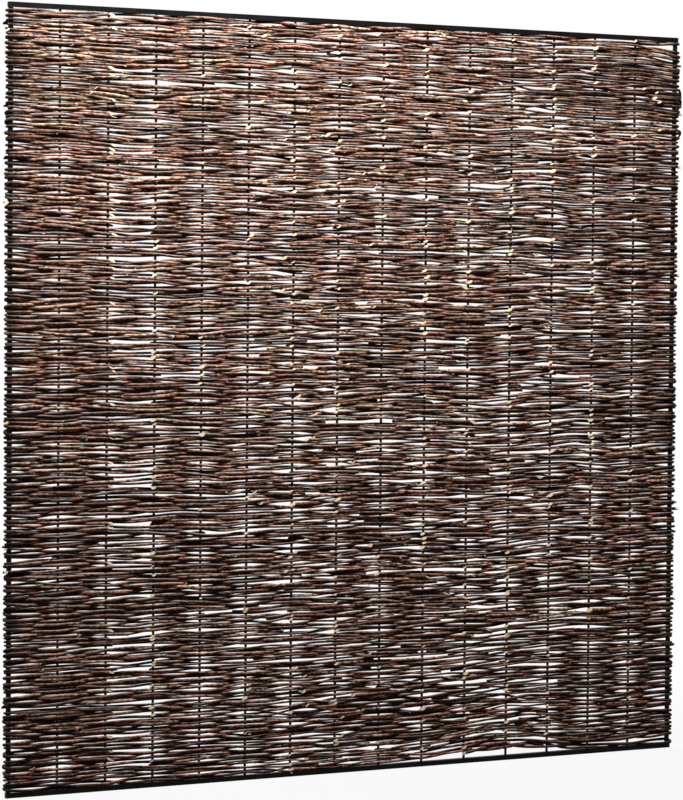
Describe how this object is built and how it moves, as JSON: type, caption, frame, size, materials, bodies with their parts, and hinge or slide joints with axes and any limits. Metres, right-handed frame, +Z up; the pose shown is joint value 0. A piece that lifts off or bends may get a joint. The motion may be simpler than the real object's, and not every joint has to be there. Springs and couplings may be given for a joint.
{
  "type": "woven willow hurdle",
  "caption": "Square fence panel of willow rods woven through thin uprights and wrapped round the side posts of a welded black steel frame.",
  "frame": {"origin": "middle of the bottom rail's underside", "axes": "+X along the panel to the right seen from the front, +Y through the thickness to the back, +Z up"},
  "size_m": [1.8186, 0.0306, 1.8],
  "materials": {
    "black_steel": "satin black paint",
    "willow_bark": "natural bark, brown to olive"
  },
  "bodies": {
    "root": {"bottom_rail": "black_steel", "top_rail": "black_steel", "left_post": "black_steel", "right_post": "black_steel", "upright_01": "black_steel", "upright_02": "black_steel", "upright_03": "black_steel", "upright_04": "black_steel", "upright_05": "black_steel", "upright_06": "black_steel", "upright_07": "black_steel", "upright_08": "black_steel", "upright_09": "black_steel", "upright_10": "black_steel", "upright_11": "black_steel", "upright_12": "black_steel", "upright_13": "black_steel", "upright_14": "black_steel", "willow_weave": "willow_bark"}
  },
  "joints": []
}
